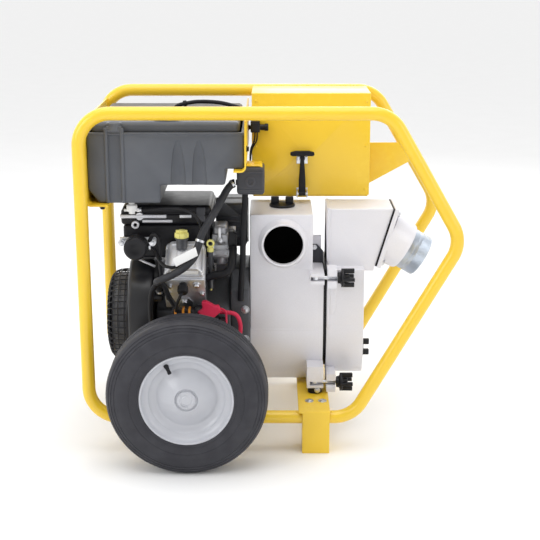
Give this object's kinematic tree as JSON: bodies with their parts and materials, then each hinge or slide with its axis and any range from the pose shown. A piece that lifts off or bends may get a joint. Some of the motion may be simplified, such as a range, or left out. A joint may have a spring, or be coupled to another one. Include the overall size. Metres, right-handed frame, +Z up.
{
  "type": "gas engine trash pump",
  "caption": "Wheeled trash pump: V-twin petrol engine, self-priming cast pump with clean-out cover, and a yellow tube cage.",
  "frame": {"origin": "on the ground under the middle of the machine (centre of its bounding box, lowest level)", "axes": "+X from the engine fan to the suction port, +Y away from the discharge port side, +Z up"},
  "size_m": [0.9731, 0.81, 0.904],
  "materials": {
    "yellow_paint": "gloss",
    "silver_paint": "satin",
    "cast_aluminium": "satin",
    "black_plastic": "matte",
    "grey_plastic": "satin",
    "black_rubber": "matte",
    "tyre_rubber": "matte",
    "zinc_steel": "satin",
    "nipple_steel": "satin",
    "rim_paint": "satin",
    "black_paint": "satin",
    "cap_yellow": "satin",
    "red_rubber": "satin",
    "cast_iron": "matte"
  },
  "bodies": {
    "chassis": {"frame_loop_near": "yellow_paint", "frame_loop_far": "yellow_paint", "stub_axle_near": "yellow_paint", "stub_axle_far": "yellow_paint", "front_foot": "yellow_paint", "engine_base": "yellow_paint", "crankcase": "cast_aluminium", "cylinder_near": "cast_aluminium", "cylinder_far": "cast_aluminium", "valve_cover_near": "cast_aluminium", "valve_cover_far": "cast_aluminium", "blower_housing": "black_paint", "fan_guard": "black_plastic", "air_cleaner": "black_plastic", "carburettor": "cast_aluminium", "muffler": "black_paint", "starter_motor": "black_paint", "battery_cable": "red_rubber", "fuel_pump": "black_plastic", "bell_housing": "cast_aluminium", "pump_casing": "silver_paint", "suction_cover": "silver_paint", "suction_flange": "silver_paint", "suction_gasket": "black_rubber", "suction_nipple": "nipple_steel", "cover_gasket": "black_rubber", "shaft_seal": "zinc_steel", "pump_mount_near": "black_rubber", "pump_mount_far": "black_rubber", "battery_box_tray": "yellow_paint", "battery_box_hood": "yellow_paint", "battery": "black_plastic", "box_gusset_plate": "yellow_paint", "engine_switch": "black_plastic", "fuel_tank": "grey_plastic", "tank_bracket_left": "yellow_paint", "tank_bracket_right": "yellow_paint", "fuel_valve": "zinc_steel", "fuel_line": "black_rubber", "carbon_canister": "grey_plastic", "canister_hose": "black_rubber"},
    "wheel_near": {"tyre_near": "tyre_rubber", "rim_near": "rim_paint"},
    "wheel_far": {"tyre_far": "tyre_rubber", "rim_far": "rim_paint"},
    "rotor": {"crankshaft": "zinc_steel", "impeller": "cast_iron"},
    "flapper": {"flapper_valve": "black_rubber"},
    "bolt_upper": {"swing_bolt_upper": "zinc_steel"},
    "bolt_lower": {"swing_bolt_lower": "zinc_steel"},
    "knob_upper": {"clamp_knob_upper": "black_plastic"},
    "knob_lower": {"clamp_knob_lower": "black_plastic"},
    "priming_cap": {"priming_plug": "black_plastic"},
    "drain_cap": {"drain_plug": "black_plastic"},
    "tank_cap": {"fuel_cap": "black_plastic"},
    "filler_cap": {"oil_cap": "cap_yellow"},
    "dipstick_rod": {"dipstick": "cap_yellow"},
    "throttle": {"throttle_lever": "zinc_steel"},
    "latch": {"latch_strap": "black_rubber"},
    "switch": {"switch_knob": "black_plastic"}
  },
  "joints": [
    {"name": "wheel_near_spin", "type": "hinge", "parent": "chassis", "child": "wheel_near", "pos_m": [-0.206, -0.35, 0.202], "axis": [0, 1, 0], "continuous": true},
    {"name": "wheel_far_spin", "type": "hinge", "parent": "chassis", "child": "wheel_far", "pos_m": [-0.206, 0.35, 0.202], "axis": [0, 1, 0], "continuous": true},
    {"name": "crank_spin", "type": "hinge", "parent": "chassis", "child": "rotor", "pos_m": [0, 0, 0.3], "axis": [1, 0, 0], "continuous": true},
    {"name": "flapper_swing", "type": "hinge", "parent": "chassis", "child": "flapper", "pos_m": [0.30556, 0, 0.58775], "axis": [0, 1, 0], "range_deg": [0, 55]},
    {"name": "bolt_upper_swing", "type": "hinge", "parent": "chassis", "child": "bolt_upper", "pos_m": [0.121, -0.1225, 0.438], "axis": [0, 0, -1], "range_deg": [0, 110]},
    {"name": "bolt_lower_swing", "type": "hinge", "parent": "chassis", "child": "bolt_lower", "pos_m": [0.121, -0.1225, 0.147], "axis": [0, 0, -1], "range_deg": [0, 110]},
    {"name": "knob_upper_turn", "type": "hinge", "parent": "bolt_upper", "child": "knob_upper", "pos_m": [0.121, -0.1225, 0.438], "axis": [1, 0, 0], "range_deg": [0, 1080]},
    {"name": "knob_lower_turn", "type": "hinge", "parent": "bolt_lower", "child": "knob_lower", "pos_m": [0.121, -0.1225, 0.147], "axis": [1, 0, 0], "range_deg": [0, 1080]},
    {"name": "priming_plug_turn", "type": "hinge", "parent": "chassis", "child": "priming_cap", "pos_m": [0.033, 0.012, 0.602], "axis": [0, 0, 1], "range_deg": [0, 720]},
    {"name": "drain_plug_turn", "type": "hinge", "parent": "chassis", "child": "drain_cap", "pos_m": [0.251, 0, 0.205], "axis": [1, 0, 0], "range_deg": [0, 720]},
    {"name": "fuel_cap_turn", "type": "hinge", "parent": "chassis", "child": "tank_cap", "pos_m": [-0.26, -0.128, 0.86], "axis": [0, 0, 1], "range_deg": [0, 360]},
    {"name": "oil_cap_turn", "type": "hinge", "parent": "chassis", "child": "filler_cap", "pos_m": [-0.227, -0.165, 0.557], "axis": [0, 0, 1], "range_deg": [0, 360]},
    {"name": "dipstick_pull", "type": "slide", "parent": "chassis", "child": "dipstick_rod", "axis": [0, 0, 1], "range_m": [0, 0.07]},
    {"name": "throttle_lever_turn", "type": "hinge", "parent": "chassis", "child": "throttle", "pos_m": [-0.134, -0.062, 0.525], "axis": [0, 1, 0], "range_deg": [-35, 35]},
    {"name": "latch_strap_swing", "type": "hinge", "parent": "chassis", "child": "latch", "pos_m": [0.087, 0.0335, 0.631], "axis": [1, 0, 0], "range_deg": [0, 90]},
    {"name": "switch_turn", "type": "hinge", "parent": "chassis", "child": "switch", "pos_m": [-0.027, 0.036, 0.812], "axis": [1, 0, 0], "range_deg": [0, 90]}
  ]
}
